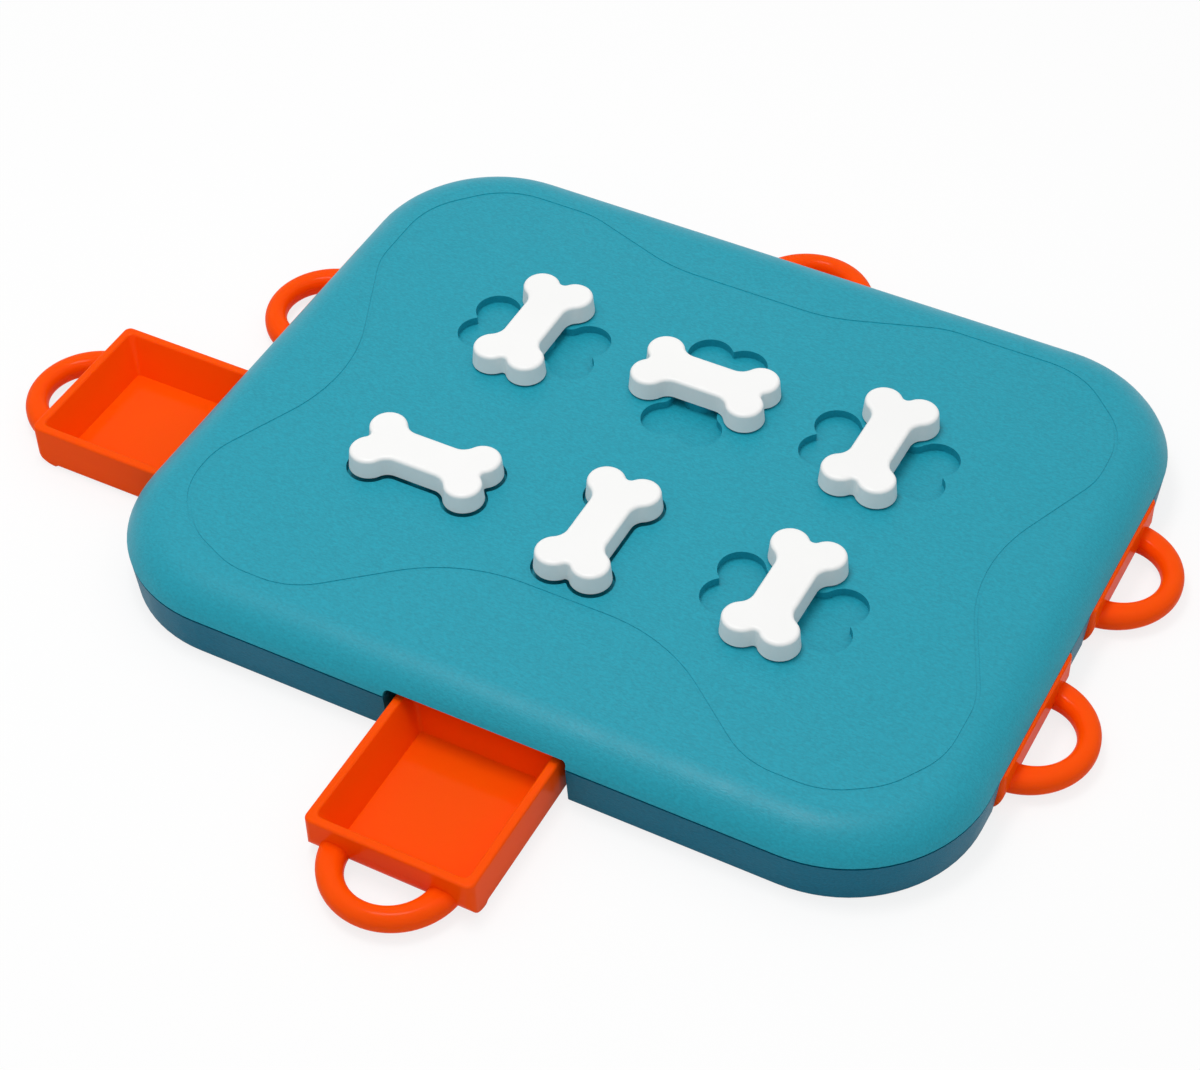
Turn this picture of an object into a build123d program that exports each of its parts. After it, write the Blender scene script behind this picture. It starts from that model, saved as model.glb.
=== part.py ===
"""Pet treat puzzle: a two-shell board with six treat drawers and six turning bone locks.

Millimetres. The origin is the centre of the board's underside, on the surface that it rests on.
+X runs along the long side to the right, +Y to the back and +Z up. The front drawer and the
front drawer of the left side stand open, and the other four are shut.
"""
import os
from math import atan2, degrees, radians, sqrt, tan

from build123d import *

# Board: overall outline, heights and walls
board_length = 350.0
board_width = 283.4
corner_radius = 56.0
deck_height = 29.7
parting_height = 18.9
crown_radius = 18.0
shell_wall = 2.4
shell_edge_inset = 0.35
base_top_inset = 0.4
base_bottom_inset = 2.0
base_floor = 1.2
base_edge_round = 1.1
seam_height = 1.0
seam_depth = 1.0

# Bone locks: how far in from the board's ends and sides their axes lie, outline, height and pocket
side_lock_reach = 99.5
end_lock_reach = 97.0
bone_row = 43.0
lobe_reach = 20.7
lobe_spread = 7.5
lobe_radius = 8.1
waist_width = 18.0
waist_round = 6.0
notch_round = 1.6
bone_height = 8.35
bone_draft = 5.0
bone_edge_round = 1.6
bone_wall = 2.2
bone_lift = 0.9
pocket_gap = 1.1
pocket_depth = 3.6
pocket_wall = 2.0

# Spindle of each bone, its collar, the lock cam under the deck and the cam's screw
spindle_diameter = 12.0
spindle_clearance = 0.08
collar_wall = 2.4
collar_gap = 0.15
cam_length = 26.0
cam_width = 11.0
cam_thickness = 2.9
cam_running_gap = 0.3
key_size = 7.0
key_clearance = 0.1
cam_screw_head = 6.0
cam_screw_head_height = 1.8
cam_screw_shank = 2.9
cam_screw_length = 10.0
screw_clearance = 0.05
screw_tip_gap = 1.0

# Drawers: box, cavity, front lip and running clearances
drawer_width = 67.6
drawer_length = 73.2
drawer_corner = 3.0
drawer_wall = 3.4
drawer_floor = 2.0
cavity_draft = 22.7
cavity_corner = 1.5
cavity_rim_corner = 2.5
rim_height = 18.5
rim_round = 1.0
front_round = 8.5
lip_length = 8.8
lip_ramp = 1.5
lip_drop = 1.0
front_proud = 0.9
side_play = 3.45
close_play = 0.8
ride_gap = 0.1

# Drawer handle: a tapering D loop
handle_width = 54.6
handle_reach = 22.6
handle_limb = 11.2
handle_bow = 8.6
handle_thickness = 9.2
handle_edge_round = 4.1
handle_centre = 6.6
handle_root = 5.0

# Catch arm behind each drawer, its posts and the stop rib that ends the drawer's travel
arm_width = 30.0
arm_thickness = 3.0
arm_end_margin = 3.5
post_diameter = 5.0
post_spread = 20.0
post_gap = 0.4
catch_gap = 0.6
travel = 60.0
stop_gap = 0.5
stop_thickness = 2.0
stop_width = 34.0
rim_clearance = 0.5

# Drawer slots, bays and where the drawers sit along the sides
slot_headroom = 3.1
slot_round = 2.0
lip_clearance = 0.8
bay_wall = 1.8
bay_depth = 80.0
bay_headroom = 2.0
left_back_row = 38.6
left_front_row = -49.5
right_back_row = 46.6
right_front_row = -41.8
back_column = 2.9
left_front_open = 58.6
front_open = 59.0

# Screws that hold the two shells together
boss_end_margin = 35.0
boss_side_margin = 36.7
boss_middle = 50.0
boss_diameter = 9.0
boss_split = 8.0
boss_foot_diameter = 12.0
shell_screw_head = 6.0
shell_screw_head_height = 2.4
shell_screw_shank = 2.9
shell_screw_length = 14.0
shell_screw_recess = 2.6
shell_screw_hole_gap = 0.4

# Engraved line: a wide bone outline on the deck, and the board that its corners are drawn for
groove_board_length = 350.0
groove_board_width = 283.4
groove_width = 1.5
groove_depth = 0.25
groove_lobe_round = 34.0
groove_waist_round = 70.0
groove_bend_share = 0.95
groove_corners = [
    (-127.0, -11.0, groove_waist_round),
    (-155.5, 56.5, groove_lobe_round),
    (-155.5, 94.5, groove_lobe_round),
    (-130.5, 121.0, groove_lobe_round),
    (-90.5, 121.0, groove_lobe_round),
    (-46.0, 106.0, groove_waist_round),
    (25.0, 106.0, groove_waist_round),
    (70.0, 121.5, groove_lobe_round),
    (128.0, 121.5, groove_lobe_round),
    (155.5, 94.5, groove_lobe_round),
    (155.5, 67.0, groove_lobe_round),
    (130.0, 5.0, groove_waist_round),
    (157.0, -55.5, groove_lobe_round),
    (157.0, -84.5, groove_lobe_round),
    (144.0, -105.5, groove_lobe_round),
    (125.0, -118.0, groove_lobe_round),
    (94.5, -118.0, groove_lobe_round),
    (45.0, -78.5, groove_waist_round),
    (-39.5, -78.5, groove_waist_round),
    (-89.5, -120.5, groove_lobe_round),
    (-115.5, -120.5, groove_lobe_round),
    (-137.5, -111.0, groove_lobe_round),
    (-153.5, -91.5, groove_lobe_round),
    (-153.5, -70.0, groove_lobe_round),
]


def arc_radius(half_chord, rise):
    """Radius of the arc that rises over a chord of that half length."""
    return (half_chord**2 + rise**2) / (2 * rise)


# Sizes that follow from the ones above
half_length = board_length / 2
half_width = board_width / 2
bone_column = half_length - side_lock_reach
bone_end_row = half_width - end_lock_reach
boss_column = half_length - boss_end_margin
boss_row = half_width - boss_side_margin
crown_rise = parting_height - deck_height + crown_radius
crown_growth = crown_radius - sqrt(crown_radius**2 - crown_rise**2) - shell_edge_inset
bone_base = deck_height + bone_lift
pocket_floor = deck_height - pocket_depth
well_bottom = pocket_floor - pocket_wall
deck_underside = deck_height - shell_wall
cam_top = well_bottom - cam_running_gap
cam_bottom = cam_top - cam_thickness
post_top = cam_bottom - post_gap
drawer_bottom = base_floor + ride_gap
lip_bottom = drawer_bottom - lip_drop
cavity_floor = drawer_bottom + drawer_floor
cavity_depth = rim_height - cavity_floor
cavity_slope = cavity_depth * tan(radians(cavity_draft))
slot_width = drawer_width + 2 * side_play
close_slot_width = drawer_width + 2 * close_play
slot_top = rim_height + slot_headroom
base_taper = degrees(atan2(base_bottom_inset - base_top_inset, parting_height))
lock_reach = max(side_lock_reach, end_lock_reach)
catch_face = lock_reach + cam_width / 2 + catch_gap + front_proud
post_line = catch_face + post_diameter / 2
arm_end = post_line + post_diameter / 2 + arm_end_margin
stop_line = catch_face - front_proud - travel - stop_gap
handle_outer = arc_radius(handle_width / 2, handle_reach)
handle_inner = arc_radius(handle_width / 2 - handle_limb, handle_reach - handle_bow)
boss_places = [(sx * boss_column, sy * boss_row) for sx in (-1, 1) for sy in (-1, 1)]
boss_places += [(-boss_middle, 0.0), (boss_middle, 0.0)]
groove_stretch = board_length / groove_board_length
groove_spread = board_width / groove_board_width
groove_path = [(x * groove_stretch, y * groove_spread, bend) for x, y, bend in groove_corners]

# Each bay: direction that its drawer opens in, middle of its slot on the board's outline,
# axis of its bone, whether that bone lies across the drawer, and how far the drawer stands open
bays = {
    "left_back": ((-1, 0), (-half_length, left_back_row), (-bone_column, bone_row), True, 0.0),
    "left_front": ((-1, 0), (-half_length, left_front_row), (-bone_column, -bone_row), False, left_front_open),
    "right_back": ((1, 0), (half_length, right_back_row), (bone_column, bone_row), True, 0.0),
    "right_front": ((1, 0), (half_length, right_front_row), (bone_column, -bone_row), True, 0.0),
    "back": ((0, 1), (back_column, half_width), (0.0, bone_end_row), True, 0.0),
    "front": ((0, -1), (0.0, -half_width), (0.0, -bone_end_row), False, front_open),
}

# Bays with a wide slot that rises into the upper shell: at the right side the slots are close, and
# the upper shell's edge runs on over the drawers
raised_slots = ("left_back", "left_front", "back", "front")


def outward_plane(way, point, out=0.0):
    """Level plane at a point moved a distance along a way, with that way as its X axis."""
    x_dir = Vector(*way, 0)
    return Plane(origin=Vector(*point, 0) + x_dir * out, x_dir=x_dir, z_dir=(0, 0, 1))


def upright_plane(level):
    """Upright plane through a level plane's X axis, so that its own Y axis points up."""
    return Plane(origin=level.origin, x_dir=level.x_dir, z_dir=-level.y_dir)


def slot_plane(level):
    """Upright plane across a drawer's way, its X axis along the board's side and Y up."""
    return Plane(origin=level.origin, x_dir=level.y_dir, z_dir=level.x_dir)


def board_outline(plane, inset):
    """Rounded rectangle of the board, drawn in by an inset."""
    with BuildSketch(plane) as outline:
        RectangleRounded(board_length - 2 * inset, board_width - 2 * inset, corner_radius - inset)
    return outline.sketch


def bone_outline(plane, grow=0.0):
    """Bone along the plane's X axis: four lobes, a straight waist and rounded inner corners."""
    with BuildSketch(plane) as outline:
        with GridLocations(2 * lobe_reach, 2 * lobe_spread, 2, 2):
            Circle(lobe_radius)
        Rectangle(2 * lobe_reach, waist_width)
        fillet(outline.vertices().filter_by(lambda v: abs(v.Y) > lobe_spread / 2), waist_round)
        fillet(outline.vertices().filter_by(lambda v: abs(v.Y) < notch_round), notch_round)
        if grow:
            offset(amount=grow)
    return outline.sketch


def bend_reach(path, index):
    """Length of its two sides that the bend at one corner of a closed path takes up."""
    before, here, after = (Vector(*path[i % len(path)][:2]) for i in (index - 1, index, index + 1))
    return path[index % len(path)][2] * tan(radians((here - before).get_angle(after - here) / 2))


def fitted_bend(path, index):
    """Bend at one corner of a closed path, limited so that the bends at the ends of a side both fit on it."""
    share = 1.0
    for start in (index - 1, index):
        side = Vector(*path[(start + 1) % len(path)][:2]) - Vector(*path[start % len(path)][:2])
        taken = bend_reach(path, start) + bend_reach(path, start + 1)
        share = min(share, groove_bend_share * side.length / taken)
    return path[index][2] * share


def bone_plane(bay):
    """Level plane at a bone's axis, its X axis along the bone as it lies at rest."""
    way, _, axis, across, _ = bays[bay]
    return outward_plane((-way[1], way[0]) if across else way, axis)


os.makedirs("parts", exist_ok=True)


def save(part, name):
    """Label a finished piece and write it under its own name."""
    part.label = name
    export_step(part, f"parts/{name}.step")


# Space inside the upper shell
with BuildPart() as shell_core:
    add(board_outline(Plane.XY.offset(deck_underside - crown_radius), shell_wall - crown_growth))
    extrude(amount=crown_radius)
    fillet(shell_core.faces().sort_by(Axis.Z)[-1].edges(), crown_radius - shell_wall)

# Upper shell: crowned deck with pockets, collars, engraved line, drawer slots, stop ribs and bosses
with BuildPart() as top_shell:
    add(board_outline(Plane.XY.offset(deck_height - crown_radius - shell_wall), -crown_growth))
    extrude(amount=crown_radius + shell_wall)
    fillet(top_shell.faces().sort_by(Axis.Z)[-1].edges(), crown_radius)
    add(shell_core.part, mode=Mode.SUBTRACT)
    split(bisect_by=Plane.XY.offset(parting_height), keep=Keep.TOP)
    for name, (way, slot, axis, across, _) in bays.items():
        well = outward_plane(way, axis)
        add(bone_outline(well.offset(well_bottom), pocket_gap + pocket_wall))
        extrude(amount=deck_underside - well_bottom)
        add(bone_outline(well.offset(pocket_floor), pocket_gap))
        extrude(amount=pocket_depth, mode=Mode.SUBTRACT)
        with BuildSketch(well.offset(well_bottom)):
            Circle(spindle_diameter / 2 + collar_wall)
        extrude(amount=bone_base - collar_gap - well_bottom)
        with BuildSketch(well.offset(well_bottom)):
            Circle(spindle_diameter / 2 + spindle_clearance)
        extrude(amount=bone_base - well_bottom, mode=Mode.SUBTRACT)
        mouth = outward_plane(way, slot)
        if name in raised_slots:
            with BuildSketch(slot_plane(mouth)) as opening:
                Rectangle(slot_width, 2 * slot_top)
                fillet(opening.vertices().group_by(Axis.Y)[-1], slot_round)
            extrude(amount=-crown_radius / 2, mode=Mode.SUBTRACT)
        with BuildSketch(mouth.offset(rim_height + rim_clearance)):
            with Locations((stop_thickness / 2 - stop_line, mouth.to_local_coords(Vector(*axis, 0)).Y)):
                Rectangle(stop_thickness, stop_width)
        extrude(amount=deck_height - shell_wall / 2 - rim_height - rim_clearance)
    with BuildSketch(Plane.XY.offset(boss_split)):
        with Locations(*boss_places):
            Circle(boss_diameter / 2)
    extrude(amount=deck_height - shell_wall / 2 - boss_split)
    with BuildSketch(Plane.XY.offset(boss_split)):
        with Locations(*boss_places):
            Circle(shell_screw_shank / 2 + screw_clearance)
    extrude(amount=shell_screw_length + shell_screw_recess + screw_tip_gap - boss_split, mode=Mode.SUBTRACT)
    with BuildSketch(Plane.XY.offset(deck_height - groove_depth)) as groove:
        with BuildLine():
            Polyline(*[(x, y) for x, y, _ in groove_path], close=True)
        make_face()
        for index, (x, y, _) in enumerate(groove_path):
            fillet(groove.vertices().sort_by_distance((x, y, 0))[0], fitted_bend(groove_path, index))
        inside = offset(amount=-groove_width / 2, mode=Mode.PRIVATE)
        offset(amount=groove_width / 2)
        add(inside, mode=Mode.SUBTRACT)
    extrude(amount=groove_depth, mode=Mode.SUBTRACT)
save(top_shell.part, "top_shell")

# Lower shell: tapering band and floor, cut away at the drawers, with bay walls and screw feet
with BuildPart() as base_tray:
    add(board_outline(Plane.XY, base_bottom_inset))
    extrude(amount=parting_height, taper=-base_taper)
    fillet(base_tray.faces().sort_by(Axis.Z)[0].edges(), base_edge_round)
    add(board_outline(Plane.XY.offset(base_floor), base_bottom_inset + shell_wall))
    extrude(amount=parting_height - base_floor, taper=-base_taper, mode=Mode.SUBTRACT)
    with BuildSketch(Plane.XY.offset(parting_height - seam_height)):
        add(board_outline(Plane.XY, 0))
        add(board_outline(Plane.XY, base_top_inset + seam_depth), mode=Mode.SUBTRACT)
    extrude(amount=seam_height, mode=Mode.SUBTRACT)
    for name, (way, slot, axis, across, _) in bays.items():
        mouth = outward_plane(way, slot)
        bay_width = slot_width if name in raised_slots else close_slot_width
        with BuildSketch(mouth.offset(base_floor)):
            with Locations((-base_bottom_inset - bay_depth / 2, 0)):
                with GridLocations(0, bay_width + bay_wall, 1, 2):
                    Rectangle(bay_depth, bay_wall)
        extrude(amount=parting_height - bay_headroom - base_floor)
        notch_depth = lip_length + lip_ramp + lip_clearance
        with BuildSketch(mouth):
            with Locations((-notch_depth / 2, 0)):
                Rectangle(notch_depth, bay_width)
        extrude(amount=parting_height, mode=Mode.SUBTRACT)
    with BuildSketch(Plane.XY):
        with Locations(*boss_places):
            Circle(boss_foot_diameter / 2)
    extrude(amount=boss_split)
    with Locations(*[Location((x, y, 0), (180, 0, 0)) for x, y in boss_places]):
        CounterBoreHole(
            shell_screw_shank / 2 + shell_screw_hole_gap,
            shell_screw_head / 2 + shell_screw_hole_gap,
            shell_screw_recess + shell_screw_head_height,
            boss_split,
        )
save(base_tray.part, "base_tray")

# Screws that draw the two shells together, seated in the feet of the lower shell
with BuildPart() as shell_screws:
    with BuildSketch(Plane.XY.offset(shell_screw_recess)):
        with Locations(*boss_places):
            Circle(shell_screw_head / 2)
    extrude(amount=shell_screw_head_height)
    with BuildSketch(Plane.XY.offset(shell_screw_recess + shell_screw_head_height)):
        with Locations(*boss_places):
            Circle(shell_screw_shank / 2)
    extrude(amount=shell_screw_length - shell_screw_head_height)
save(shell_screws.part, "shell_screws")

for name, (way, slot, axis, across, out) in bays.items():
    front = outward_plane(way, slot, out + front_proud)
    lock_line = front.to_local_coords(Vector(*axis, 0)).Y

    # Handle: part of a tapering ring with rounded edges, its limbs sunk into the drawer's front
    with BuildPart() as handle:
        with BuildSketch(front.offset(handle_centre - handle_thickness / 2)):
            with Locations((handle_reach - handle_outer, 0)):
                Circle(handle_outer)
            with Locations((handle_reach - handle_bow - handle_inner, 0)):
                Circle(handle_inner, mode=Mode.SUBTRACT)
            with Locations((-handle_root - handle_outer, 0)):
                Rectangle(2 * handle_outer, 2 * handle_outer, mode=Mode.SUBTRACT)
        extrude(amount=handle_thickness)
        edges = handle.edges().filter_by(lambda e: abs(e.center().Z - handle_centre) > handle_thickness / 4)
        fillet([e for e in edges if e.geom_type != GeomType.LINE], handle_edge_round)

    # Drawer: side profile with a rounded lip, plan corners, flared cavity, handle and catch arm
    with BuildPart() as drawer:
        with BuildSketch(upright_plane(front)) as profile:
            with BuildLine():
                Polyline(
                    (-drawer_length, drawer_bottom),
                    (-lip_length - lip_ramp, drawer_bottom),
                    (-lip_length, lip_bottom),
                    (0, lip_bottom),
                    (0, rim_height),
                    (-drawer_length, rim_height),
                    close=True,
                )
            make_face()
            fillet(profile.vertices().group_by(Axis.Y)[0].sort_by(Axis.X)[-1], front_round)
        extrude(amount=drawer_width / 2, both=True)
        with BuildSketch(front):
            with Locations((-drawer_length / 2, 0)):
                RectangleRounded(drawer_length, drawer_width, drawer_corner)
        extrude(amount=rim_height, mode=Mode.INTERSECT)
        with BuildSketch(front.offset(cavity_floor)):
            with Locations((-drawer_length / 2, 0)):
                RectangleRounded(
                    drawer_length - 2 * drawer_wall - 2 * cavity_slope,
                    drawer_width - 2 * drawer_wall - 2 * cavity_slope,
                    cavity_corner,
                )
        with BuildSketch(front.offset(rim_height)):
            with Locations((-drawer_length / 2, 0)):
                RectangleRounded(
                    drawer_length - 2 * drawer_wall,
                    drawer_width - 2 * drawer_wall,
                    cavity_rim_corner,
                )
        loft(mode=Mode.SUBTRACT)
        fillet(drawer.edges().group_by(Axis.Z)[-1], rim_round)
        add(handle.part)
        arm_root = drawer_length - drawer_wall / 2
        with BuildSketch(front.offset(rim_height - rim_round - arm_thickness)):
            with Locations((-(arm_root + arm_end) / 2, lock_line)):
                RectangleRounded(arm_end - arm_root, arm_width, drawer_corner)
        extrude(amount=arm_thickness)
        with BuildSketch(front.offset(rim_height - rim_round - arm_thickness)):
            with Locations((-post_line, lock_line)):
                with GridLocations(0, post_spread, 1, 2):
                    Circle(post_diameter / 2)
        extrude(amount=post_top - rim_height + rim_round + arm_thickness)
    save(drawer.part, f"{name}_drawer")

    # Bone: drafted cap, hollow underneath, on a spindle with a square key and a screw hole
    level = bone_plane(name)
    with BuildPart() as bone:
        add(bone_outline(level.offset(bone_base)))
        extrude(amount=bone_height, taper=bone_draft)
        fillet(bone.faces().sort_by(Axis.Z)[-1].edges(), bone_edge_round)
        add(bone_outline(level.offset(bone_base), -bone_wall))
        extrude(amount=bone_height - bone_wall, taper=bone_draft, mode=Mode.SUBTRACT)
        with BuildSketch(level.offset(cam_top)):
            Circle(spindle_diameter / 2)
        extrude(amount=bone_base + bone_height - bone_wall / 2 - cam_top)
        with BuildSketch(level.offset(cam_bottom)):
            Rectangle(key_size, key_size)
        extrude(amount=cam_thickness)
        with BuildSketch(level.offset(cam_bottom)):
            Circle(cam_screw_shank / 2 + screw_clearance)
        extrude(amount=cam_screw_length, mode=Mode.SUBTRACT)
    save(bone.part, f"{name}_bone")

    # Lock cam: a bar in line with the bone, keyed on the spindle's square end
    with BuildPart() as cam:
        with BuildSketch(level.offset(cam_bottom)):
            SlotOverall(cam_length, cam_width)
            Rectangle(key_size + 2 * key_clearance, key_size + 2 * key_clearance, mode=Mode.SUBTRACT)
        extrude(amount=cam_thickness)
    save(cam.part, f"{name}_lock_cam")

    # Cam screw: its head holds the cam up against the spindle's shoulder
    with BuildPart() as cam_screw:
        with BuildSketch(level.offset(cam_bottom - cam_screw_head_height)):
            Circle(cam_screw_head / 2)
        extrude(amount=cam_screw_head_height)
        with BuildSketch(level.offset(cam_bottom)):
            Circle(cam_screw_shank / 2)
        extrude(amount=cam_screw_length - screw_tip_gap)
    save(cam_screw.part, f"{name}_cam_screw")
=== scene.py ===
"""Looks, stage and camera of the pet treat puzzle, laid out as a Blender add-on.

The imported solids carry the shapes. This file gives every moulding its finish, cuts the
screws with their threads and driver recesses, and sets the table, light and camera.
"""

import bpy
import numpy as np
from bpy.props import FloatProperty, FloatVectorProperty, PointerProperty
from mathutils import Matrix, Vector


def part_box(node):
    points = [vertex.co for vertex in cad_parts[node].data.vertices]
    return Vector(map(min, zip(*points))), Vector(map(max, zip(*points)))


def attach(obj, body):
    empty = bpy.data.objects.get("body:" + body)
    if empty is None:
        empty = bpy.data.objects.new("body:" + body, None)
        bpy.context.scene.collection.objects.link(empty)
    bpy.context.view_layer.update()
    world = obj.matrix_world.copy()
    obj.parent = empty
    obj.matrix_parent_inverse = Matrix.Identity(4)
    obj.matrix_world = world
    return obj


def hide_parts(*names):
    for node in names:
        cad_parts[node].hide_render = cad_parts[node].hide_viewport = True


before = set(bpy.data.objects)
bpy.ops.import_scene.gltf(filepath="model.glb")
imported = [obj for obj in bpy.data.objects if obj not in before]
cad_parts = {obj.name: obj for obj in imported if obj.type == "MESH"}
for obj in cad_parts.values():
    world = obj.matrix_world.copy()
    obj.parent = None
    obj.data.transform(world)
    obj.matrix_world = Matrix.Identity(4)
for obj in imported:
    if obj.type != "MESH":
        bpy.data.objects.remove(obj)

bl_info = {
    "name": "Pet treat puzzle looks",
    "version": (1, 0, 0),
    "blender": (4, 5, 0),
    "location": "View3D > Sidebar > Treat puzzle",
    "description": "Finishes, screws, stage and camera for a pet treat puzzle",
    "category": "Object",
}

SIDES = ("left_back", "left_front", "right_back", "right_front", "back", "front")
MM = 0.001
NOISE_LOW, NOISE_HIGH = 0.3, 0.7  # the range that a noise signal keeps to


def colour(name, text, default):
    """A colour property of a moulding."""
    return FloatVectorProperty(
        name=name, description=text, subtype="COLOR", size=3, min=0.0, max=1.0, default=default
    )


def length(name, text, millimetres):
    """A length property, given in millimetres and kept in metres."""
    return FloatProperty(
        name=name,
        description=text,
        unit="LENGTH",
        subtype="DISTANCE",
        precision=5,
        default=millimetres * MM,
    )


def number(name, text, default):
    """A plain number property."""
    return FloatProperty(name=name, description=text, default=default)


class PuzzleFinish(bpy.types.PropertyGroup):
    """Colours and grain of the mouldings."""

    shell: colour("Shell", "Teal of the upper shell", (0.008, 0.305, 0.405))
    # Painted shade: the lower shell's teal is the upper shell's teal made darker, standing in for the
    # shade on its side-facing band.
    base: colour("Base", "Deeper teal of the lower shell", (0.003, 0.145, 0.235))
    drawer: colour("Drawer", "Orange of the six drawers", (0.99, 0.082, 0.001))
    bone: colour("Bone", "White of the bones and lock cams", (0.9, 0.9, 0.89))
    steel: colour("Steel", "Zinc plate of the screws", (0.55, 0.56, 0.58))
    grain_size: length("Grain size", "Width of one cell of the shells' moulded grain", 0.6)
    grain_depth: length("Grain depth", "Height of the shells' moulded grain", 0.14)
    shell_gloss: number("Shell gloss", "Specular level of the upper shell", 0.3)
    base_gloss: number("Base gloss", "Specular level of the lower shell", 0.08)


class PuzzleScrew(bpy.types.PropertyGroup):
    """Thread and driver recess of the screws."""

    head: length("Head", "Radius of a screw's head", 3.0)
    shank: length("Shank", "Radius of the thread's crest", 1.45)
    shell_head: length("Shell screw head", "Height of a shell screw's head", 2.4)
    cam_head: length("Cam screw head", "Height of a cam screw's head", 1.8)
    pitch: length("Pitch", "Height of one turn of the thread", 1.2)
    thread: length("Thread", "Depth of the thread under its crest", 0.35)
    recess: length("Recess", "Depth of the driver's cross", 1.1)
    recess_reach: length("Recess reach", "Length of one arm of the driver's cross", 1.9)
    recess_width: length("Recess width", "Half the width of one arm of the driver's cross", 0.42)
    column: length("Column", "Shell screws at the corners, to each side of the middle", 140.0)
    row: length("Row", "Shell screws at the corners, in front of and behind the middle", 105.0)
    middle: length("Middle", "Shell screws on the long middle line, to each side", 50.0)


class PuzzleStage(bpy.types.PropertyGroup):
    """Table, light and camera."""

    yaw: number("Yaw", "Camera to the right of the front, in degrees", 28.55)
    pitch: number("Pitch", "Camera above the horizon, in degrees", 45.78)
    roll: number("Roll", "Camera about its own axis, in degrees", -1.12)
    across: length("Across", "Camera moved to its right", -20.784)
    along: length("Along", "Camera moved along its up", -7.0)
    away: length("Away", "Camera back from the board's underside", 1071.37)
    focal: number("Focal length", "Lens, in pixels of the picture", 2737.9)
    picture: number("Picture width", "Pixels across the picture", 1200.0)
    sensor: number("Sensor", "Sensor width in millimetres", 36.0)
    fill: number("Fill", "Strength of the dome of light at the horizon", 0.34)
    sky: number("Sky", "Strength of the dome of light overhead", 1.06)
    key: number("Key", "Power of the overhead softbox in watts", 4.2)
    softbox: FloatVectorProperty(
        name="Softbox",
        description="Place of the softbox, which faces the board",
        unit="LENGTH",
        subtype="TRANSLATION",
        size=3,
        default=(-0.18, -0.05, 1.1),
    )
    softbox_width: length("Softbox width", "Softbox from left to right", 360.0)
    softbox_depth: length("Softbox depth", "Softbox from front to back", 300.0)


def settings(scene):
    """The three groups of values."""
    return scene.puzzle_finish, scene.puzzle_screw, scene.puzzle_stage


def material(name):
    """A new node material with its tree, its principled shader and its object coordinates."""
    made = bpy.data.materials.new(name)
    made.use_nodes = True
    tree = made.node_tree
    shader = tree.nodes["Principled BSDF"]
    place = tree.nodes.new("ShaderNodeTexCoord")
    return made, tree, shader, place.outputs["Object"]


def add_node(tree, kind, **values):
    """A node with its attributes and sockets set by name."""
    node = tree.nodes.new(kind)
    for key, value in values.items():
        if hasattr(node, key):
            setattr(node, key, value)
        else:
            node.inputs[key.replace("_", " ").title()].default_value = value
    return node


def drift(tree, place, scale, detail=3.0):
    """A noise signal of one scale over the object."""
    noise = add_node(tree, "ShaderNodeTexNoise", scale=scale, detail=detail)
    tree.links.new(place, noise.inputs["Vector"])
    return noise.outputs["Fac"]


def tint(tree, signal, shader, rgb, spread):
    """A moulding's colour between a slightly deeper and a lighter shade, led by a signal."""
    ramp = tree.nodes.new("ShaderNodeValToRGB")
    deeper, lighter = ramp.color_ramp.elements
    deeper.position, lighter.position = NOISE_LOW, NOISE_HIGH
    deeper.color = tuple(c * (1.0 - spread) for c in rgb) + (1.0,)
    lighter.color = tuple(min(1.0, c * (1.0 + spread)) for c in rgb) + (1.0,)
    tree.links.new(signal, ramp.inputs["Fac"])
    tree.links.new(ramp.outputs["Color"], shader.inputs["Base Color"])


def bump(tree, shader, height, strength, distance):
    """Raises the surface by a height signal."""
    node = add_node(tree, "ShaderNodeBump")
    node.inputs["Strength"].default_value = strength
    node.inputs["Distance"].default_value = distance
    tree.links.new(height, node.inputs["Height"])
    tree.links.new(node.outputs["Normal"], shader.inputs["Normal"])


def uneven_gloss(tree, place, shader, scale, low, high):
    """Roughness that drifts between two values with noise."""
    spread = tree.nodes.new("ShaderNodeMapRange")
    spread.inputs["From Min"].default_value = NOISE_LOW
    spread.inputs["From Max"].default_value = NOISE_HIGH
    spread.inputs["To Min"].default_value = low
    spread.inputs["To Max"].default_value = high
    tree.links.new(drift(tree, place, scale, detail=2.0), spread.inputs["Value"])
    tree.links.new(spread.outputs["Result"], shader.inputs["Roughness"])


def leather_grain(tree, place, size):
    """Height of a fine leather grain: noise drawn out along X and bent by a slower noise."""
    drawn_out = 0.4
    stretched = add_node(tree, "ShaderNodeMapping")
    stretched.inputs["Scale"].default_value = (drawn_out / size, 1.0 / size, 1.0 / size)
    tree.links.new(place, stretched.inputs["Vector"])
    creases = add_node(tree, "ShaderNodeTexNoise", scale=1.0, detail=1.5)
    creases.inputs["Distortion"].default_value = 0.6
    tree.links.new(stretched.outputs["Vector"], creases.inputs["Vector"])
    return creases.outputs["Fac"]


def grained_teal(name, rgb, gloss, finish):
    """Satin teal plastic with a fine leather grain from the mould, with painted shade that darkens its
    colour in the grain's creases.
    """
    made, tree, shader, place = material(name)
    grain = leather_grain(tree, place, finish.grain_size)
    # Painted shade and light: the grain's height sets the colour, darker in its creases and lighter on
    # its crests.
    tint(tree, grain, shader, rgb, spread=0.11)
    bump(tree, shader, grain, strength=0.6, distance=finish.grain_depth)
    uneven_gloss(tree, place, shader, scale=60.0, low=0.4, high=0.48)
    shader.inputs["Specular IOR Level"].default_value = gloss
    return made


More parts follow.
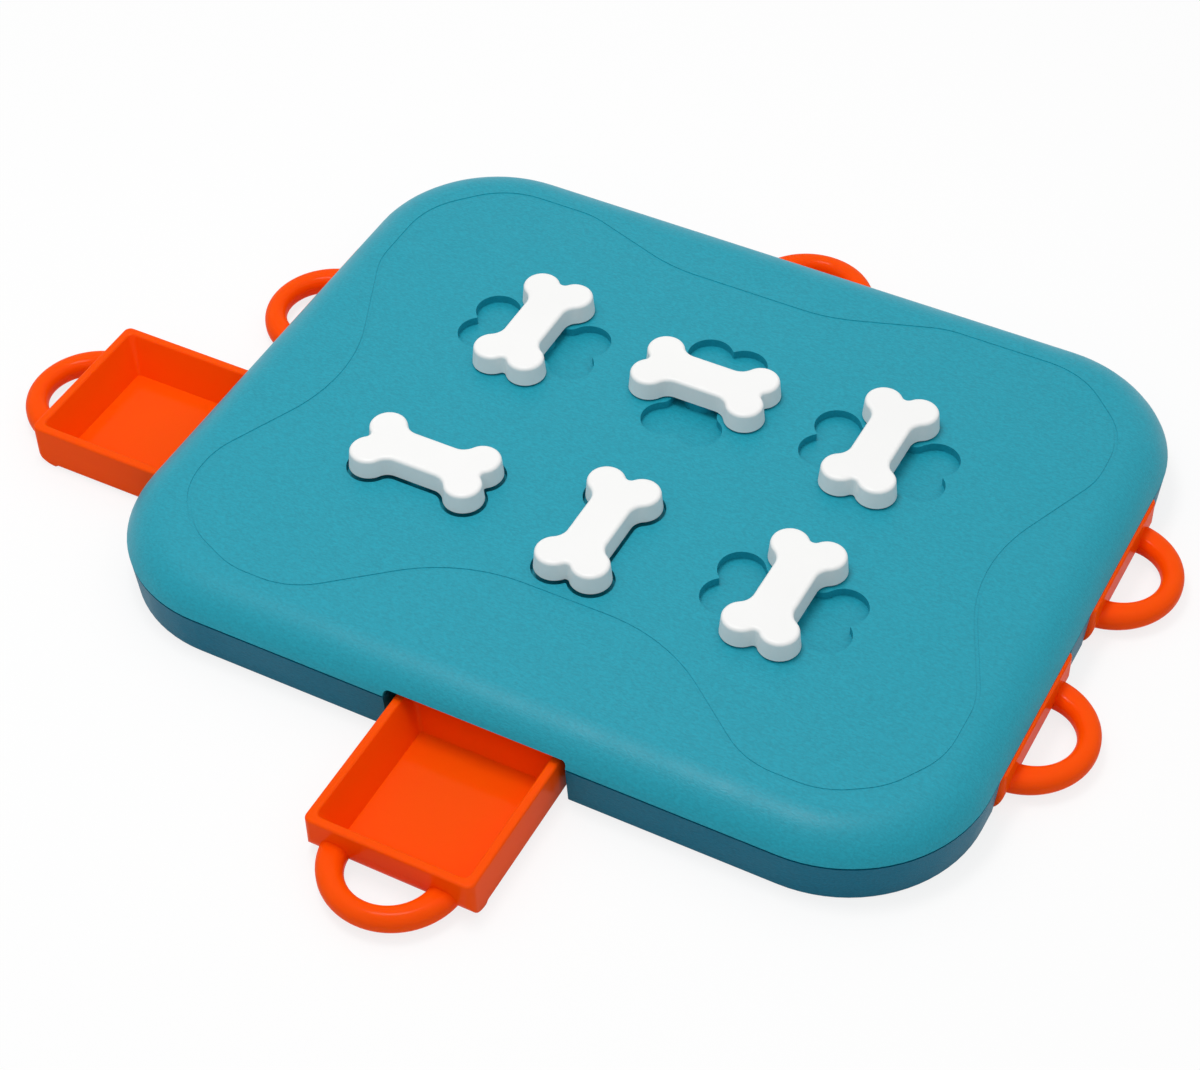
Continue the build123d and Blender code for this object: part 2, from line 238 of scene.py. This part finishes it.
def glossy_orange(finish):
    """Smooth orange plastic, a little glossy, with faint flow lines."""
    made, tree, shader, place = material("glossy_orange")
    tint(tree, drift(tree, place, scale=14.0), shader, finish.drawer, spread=0.03)
    bump(tree, shader, drift(tree, place, scale=900.0, detail=2.0), strength=0.12, distance=0.1 * MM)
    uneven_gloss(tree, place, shader, scale=40.0, low=0.28, high=0.36)
    shader.inputs["Specular IOR Level"].default_value = 0.005
    shader.inputs["Coat Weight"].default_value = 0.11
    shader.inputs["Coat Roughness"].default_value = 0.14
    shader.inputs["Subsurface Weight"].default_value = 0.25
    shader.inputs["Subsurface Radius"].default_value = (1.0, 0.3, 0.1)
    shader.inputs["Subsurface Scale"].default_value = 6.0 * MM
    return made


def satin_white(finish):
    """White satin plastic with a barely seen orange-peel surface."""
    made, tree, shader, place = material("satin_white")
    tint(tree, drift(tree, place, scale=25.0), shader, finish.bone, spread=0.01)
    bump(tree, shader, drift(tree, place, scale=420.0, detail=2.0), strength=0.05, distance=0.2 * MM)
    uneven_gloss(tree, place, shader, scale=60.0, low=0.35, high=0.45)
    return made


def zinc_plate(finish):
    """Bright zinc plate with a slightly uneven shine."""
    made, tree, shader, place = material("zinc_plate")
    tint(tree, drift(tree, place, scale=300.0), shader, finish.steel, spread=0.06)
    shader.inputs["Metallic"].default_value = 1.0
    uneven_gloss(tree, place, shader, scale=900.0, low=0.25, high=0.4)
    return made


def dress(nodes, made):
    """Gives CAD nodes one material."""
    for name in nodes:
        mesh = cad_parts[name].data
        mesh.materials.clear()
        mesh.materials.append(made)


def screw_surface(head_h, tip, values, turns=48, rings=64, face_rings=21):
    """Points, quads and triangles of a screw along +Z whose head faces down.

    A profile is carried round the axis: middle of the head, out to its rim, up its side, in to
    the shank and up to the tip. Round angle a and height z the shank's radius is the crest less
    the thread depth times a triangle wave of z over the pitch less a over a turn, and it narrows
    over the last two turns. The head's face is lifted by the recess depth where the lesser of
    |x| and |y| is inside an arm's width and the greater inside its reach. A fan of triangles
    closes the middle of the head, and another the tip.
    """
    face_share, neck_share = 0.96, 0.97
    rim_low, rim_high = 0.12, 0.9
    tip_share, tip_turns = 0.25, 2.0
    arm_slope, reach_slope = 0.3, 0.5
    face_r = np.linspace(0.0, values.head * face_share, face_rings + 1)[1:]
    face = np.stack([face_r, np.zeros_like(face_r)], axis=1)
    side_r = values.head * np.array([1.0, 1.0, neck_share])
    side = np.stack([side_r, head_h * np.array([rim_low, rim_high, 1.0])], axis=1)
    shank = np.stack([np.full(rings, values.shank), np.linspace(head_h, tip, rings)], axis=1)
    profile = np.concatenate([face, side, shank])
    angle = np.linspace(0.0, 2.0 * np.pi, turns, endpoint=False)
    r = np.repeat(profile[:, :1], turns, axis=1)
    z = np.repeat(profile[:, 1:], turns, axis=1)
    a = np.repeat(angle[None, :], len(profile), axis=0)
    on_shank = np.arange(len(profile))[:, None] >= len(face) + len(side)
    wave = np.abs(2.0 * np.mod(z / values.pitch - a / (2.0 * np.pi), 1.0) - 1.0)
    taper = np.clip((tip - z) / (tip_turns * values.pitch), tip_share, 1.0)
    r = np.where(on_shank, (r - values.thread * wave) * taper, r)
    x, y = r * np.cos(a), r * np.sin(a)
    near, far = np.minimum(np.abs(x), np.abs(y)), np.maximum(np.abs(x), np.abs(y))
    arm = np.clip((1.0 - near / values.recess_width) / arm_slope, 0.0, 1.0)
    reach = np.clip((1.0 - far / values.recess_reach) / reach_slope, 0.0, 1.0)
    on_face = np.arange(len(profile))[:, None] < len(face)
    z = np.where(on_face, z + values.recess * arm * reach, z)
    points = np.stack([x, y, z], axis=-1).reshape(-1, 3)
    ring, step = np.meshgrid(np.arange(len(profile) - 1) * turns, np.arange(turns), indexing="ij")
    after = (step + 1) % turns
    above = ring + turns
    quads = np.stack([ring + step, ring + after, above + after, above + step], axis=-1).reshape(-1, 4)
    middle = np.full(turns, len(points))
    points = np.concatenate([points, [[0.0, 0.0, values.recess], [0.0, 0.0, tip]]])
    rim = np.arange(turns)
    next_rim = (rim + 1) % turns
    last = (len(profile) - 1) * turns
    head_fan = np.stack([middle, next_rim, rim], axis=1)
    tip_fan = np.stack([last + rim, last + next_rim, middle + 1], axis=1)
    return points, quads, np.concatenate([head_fan, tip_fan])


def screw_piece(name, places, head_h, tip, values, made):
    """One object that holds a screw at each place."""
    points, quads, fans = screw_surface(head_h, tip, values)
    places = np.asarray(places)
    moved = (points[None, :, :] + places[:, None, :]).reshape(-1, 3)
    starts = np.arange(len(places)) * len(points)
    faces = []
    for part in (quads, fans):
        faces += (part[None] + starts[:, None, None]).reshape(-1, part.shape[1]).tolist()
    mesh = bpy.data.meshes.new(name)
    mesh.from_pydata(moved.tolist(), [], faces)
    mesh.validate()
    mesh.materials.append(made)
    piece = bpy.data.objects.new(name, mesh)
    bpy.context.scene.collection.objects.link(piece)
    return piece


class PUZZLE_OT_shells(bpy.types.Operator):
    """Grained teal on the upper and the lower shell"""

    bl_idname = "puzzle.shells"
    bl_label = "Finish the shells"

    def execute(self, context):
        finish = context.scene.puzzle_finish
        dress(["top_shell"], grained_teal("grained_teal", finish.shell, finish.shell_gloss, finish))
        # The lower shell takes a darker copy of the shell teal, with painted shade for its side-facing
        # band.
        dress(["base_tray"], grained_teal("teal_with_painted_shade", finish.base, finish.base_gloss, finish))
        return {"FINISHED"}


class PUZZLE_OT_drawers(bpy.types.Operator):
    """Glossy orange on the six drawers"""

    bl_idname = "puzzle.drawers"
    bl_label = "Finish the drawers"

    def execute(self, context):
        dress([f"{side}_drawer" for side in SIDES], glossy_orange(context.scene.puzzle_finish))
        return {"FINISHED"}


class PUZZLE_OT_bones(bpy.types.Operator):
    """Satin white on the bones and the lock cams"""

    bl_idname = "puzzle.bones"
    bl_label = "Finish the bones"

    def execute(self, context):
        made = satin_white(context.scene.puzzle_finish)
        dress([f"{side}_bone" for side in SIDES] + [f"{side}_lock_cam" for side in SIDES], made)
        return {"FINISHED"}


class PUZZLE_OT_screws(bpy.types.Operator):
    """Threaded screws with a driver's cross in place of the plain ones"""

    bl_idname = "puzzle.screws"
    bl_label = "Cut the screws"

    def execute(self, context):
        finish, values, _ = settings(context.scene)
        made = zinc_plate(finish)
        low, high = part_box("shell_screws")
        places = [(sx * values.column, sy * values.row, low[2]) for sx in (-1, 1) for sy in (-1, 1)]
        places += [(sx * values.middle, 0.0, low[2]) for sx in (-1, 1)]
        tall = high[2] - low[2]
        piece = screw_piece("shell_screws_cut", places, values.shell_head, tall, values, made)
        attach(piece, "board")
        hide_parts("shell_screws")
        for side in SIDES:
            low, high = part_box(f"{side}_cam_screw")
            place = ((low[0] + high[0]) / 2, (low[1] + high[1]) / 2, low[2])
            tall = high[2] - low[2]
            piece = screw_piece(f"{side}_cam_screw_cut", [place], values.cam_head, tall, values, made)
            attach(piece, f"{side}_lock")
            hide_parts(f"{side}_cam_screw")
        return {"FINISHED"}


class PUZZLE_OT_stage(bpy.types.Operator):
    """White table, soft overhead light and the camera"""

    bl_idname = "puzzle.stage"
    bl_label = "Set the stage"

    def execute(self, context):
        values = context.scene.puzzle_stage
        set_floor()
        set_light(context.scene, values)
        set_camera(context.scene, values)
        context.scene.view_settings.view_transform = "Standard"
        return {"FINISHED"}


def seen_directly(tree):
    """One for camera, mirror and clear rays, nought for the light that bounces."""
    path = tree.nodes.new("ShaderNodeLightPath")
    first = add_node(tree, "ShaderNodeMath", operation="MAXIMUM")
    second = add_node(tree, "ShaderNodeMath", operation="MAXIMUM")
    tree.links.new(path.outputs["Is Camera Ray"], first.inputs[0])
    tree.links.new(path.outputs["Is Glossy Ray"], first.inputs[1])
    tree.links.new(first.outputs[0], second.inputs[0])
    tree.links.new(path.outputs["Is Transmission Ray"], second.inputs[1])
    return second.outputs[0]


def set_floor():
    """A wide white table, a hair under the board, that keeps a faint shadow of it."""
    reach = 6.0
    under = 0.1 * MM
    bounce_grey, shade_grey, shade_share = 0.8, 0.95, 0.2
    corners = np.array([[-1, -1, 0], [1, -1, 0], [1, 1, 0], [-1, 1, 0]]) * reach
    corners[:, 2] -= under
    mesh = bpy.data.meshes.new("table_top")
    mesh.from_pydata(corners.tolist(), [], [(0, 1, 2, 3)])
    floor = bpy.data.objects.new("table_top", mesh)
    bpy.context.scene.collection.objects.link(floor)
    made = bpy.data.materials.new("white_table")
    made.use_nodes = True
    tree = made.node_tree
    tree.nodes.remove(tree.nodes["Principled BSDF"])
    out = tree.nodes["Material Output"]
    bounce = add_node(tree, "ShaderNodeBsdfDiffuse")
    bounce.inputs["Color"].default_value = (bounce_grey, bounce_grey, bounce_grey, 1.0)
    glow = add_node(tree, "ShaderNodeEmission")
    glow.inputs["Strength"].default_value = 1.0
    shade = add_node(tree, "ShaderNodeBsdfDiffuse")
    shade.inputs["Color"].default_value = (shade_grey, shade_grey, shade_grey, 1.0)
    white = tree.nodes.new("ShaderNodeMixShader")
    white.inputs["Fac"].default_value = shade_share
    tree.links.new(glow.outputs[0], white.inputs[1])
    tree.links.new(shade.outputs[0], white.inputs[2])
    choice = tree.nodes.new("ShaderNodeMixShader")
    tree.links.new(seen_directly(tree), choice.inputs["Fac"])
    tree.links.new(bounce.outputs[0], choice.inputs[1])
    tree.links.new(white.outputs[0], choice.inputs[2])
    tree.links.new(choice.outputs[0], out.inputs["Surface"])
    mesh.materials.append(made)


def set_light(scene, values):
    """A dome that is brightest overhead, by the square of the height, and a softbox above the board."""
    world = bpy.data.worlds.new("studio")
    world.use_nodes = True
    scene.world = world
    tree = world.node_tree
    sky = tree.nodes["Background"]
    sky.inputs["Color"].default_value = (1.0, 1.0, 1.0, 1.0)
    way = tree.nodes.new("ShaderNodeTexCoord")
    parts = tree.nodes.new("ShaderNodeSeparateXYZ")
    tree.links.new(way.outputs["Generated"], parts.inputs[0])
    above = add_node(tree, "ShaderNodeMath", operation="MAXIMUM")
    above.inputs[1].default_value = 0.0
    tree.links.new(parts.outputs["Z"], above.inputs[0])
    dome = add_node(tree, "ShaderNodeMath", operation="MULTIPLY")
    tree.links.new(above.outputs[0], dome.inputs[0])
    tree.links.new(above.outputs[0], dome.inputs[1])
    lit = add_node(tree, "ShaderNodeMapRange")
    lit.inputs["To Min"].default_value = values.fill
    lit.inputs["To Max"].default_value = values.sky
    tree.links.new(dome.outputs[0], lit.inputs["Value"])
    shown = tree.nodes.new("ShaderNodeMix")
    shown.inputs["B"].default_value = 1.0
    tree.links.new(seen_directly(tree), shown.inputs["Factor"])
    tree.links.new(lit.outputs["Result"], shown.inputs["A"])
    tree.links.new(shown.outputs["Result"], sky.inputs["Strength"])
    lamp = bpy.data.lights.new("softbox", "AREA")
    lamp.shape = "RECTANGLE"
    lamp.size = values.softbox_width
    lamp.size_y = values.softbox_depth
    lamp.energy = values.key
    box = bpy.data.objects.new("softbox", lamp)
    scene.collection.objects.link(box)
    place = Vector(values.softbox)
    facing = place.to_track_quat("Z", "Y").to_matrix().to_4x4()
    box.matrix_world = Matrix.Translation(place) @ facing


def set_camera(scene, values):
    """Camera from its yaw, pitch and roll: back, right and up axes, then its shift along them."""
    yaw, pitch, roll = np.radians([values.yaw, values.pitch, values.roll])
    back = np.array([np.sin(yaw) * np.cos(pitch), -np.cos(yaw) * np.cos(pitch), np.sin(pitch)])
    right = np.array([np.cos(yaw), np.sin(yaw), 0.0])
    up = np.cross(back, right)
    turned_right = np.cos(roll) * right + np.sin(roll) * up
    turned_up = np.cos(roll) * up - np.sin(roll) * right
    place = values.across * turned_right + values.along * turned_up + values.away * back
    matrix = np.eye(4)
    matrix[:3, 0], matrix[:3, 1], matrix[:3, 2], matrix[:3, 3] = turned_right, turned_up, back, place
    lens = bpy.data.cameras.new("camera")
    lens.sensor_fit = "HORIZONTAL"
    lens.sensor_width = values.sensor
    lens.lens = values.focal * values.sensor / values.picture
    lens.clip_start = 0.01
    camera = bpy.data.objects.new("camera", lens)
    camera.matrix_world = Matrix(matrix.tolist())
    scene.collection.objects.link(camera)
    scene.camera = camera


class PUZZLE_PT_sidebar(bpy.types.Panel):
    """Values and steps of the treat puzzle"""

    bl_idname = "PUZZLE_PT_sidebar"
    bl_label = "Treat puzzle"
    bl_space_type = "VIEW_3D"
    bl_region_type = "UI"
    bl_category = "Treat puzzle"

    def draw(self, context):
        for group in settings(context.scene):
            for key in group.bl_rna.properties.keys():
                if key not in ("name", "rna_type"):
                    self.layout.prop(group, key)
        for step in STEPS:
            self.layout.operator(step.bl_idname)


GROUPS = {"puzzle_finish": PuzzleFinish, "puzzle_screw": PuzzleScrew, "puzzle_stage": PuzzleStage}
STEPS = (PUZZLE_OT_shells, PUZZLE_OT_drawers, PUZZLE_OT_bones, PUZZLE_OT_screws, PUZZLE_OT_stage)


def register():
    for key, group in GROUPS.items():
        bpy.utils.register_class(group)
        setattr(bpy.types.Scene, key, PointerProperty(type=group))
    for step in STEPS + (PUZZLE_PT_sidebar,):
        bpy.utils.register_class(step)


def unregister():
    for step in reversed(STEPS + (PUZZLE_PT_sidebar,)):
        bpy.utils.unregister_class(step)
    for key, group in reversed(GROUPS.items()):
        delattr(bpy.types.Scene, key)
        bpy.utils.unregister_class(group)


def main():
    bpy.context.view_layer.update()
    register()
    bpy.ops.puzzle.shells()
    bpy.ops.puzzle.drawers()
    bpy.ops.puzzle.bones()
    bpy.ops.puzzle.screws()
    bpy.ops.puzzle.stage()


if __name__ == "__main__":
    main()
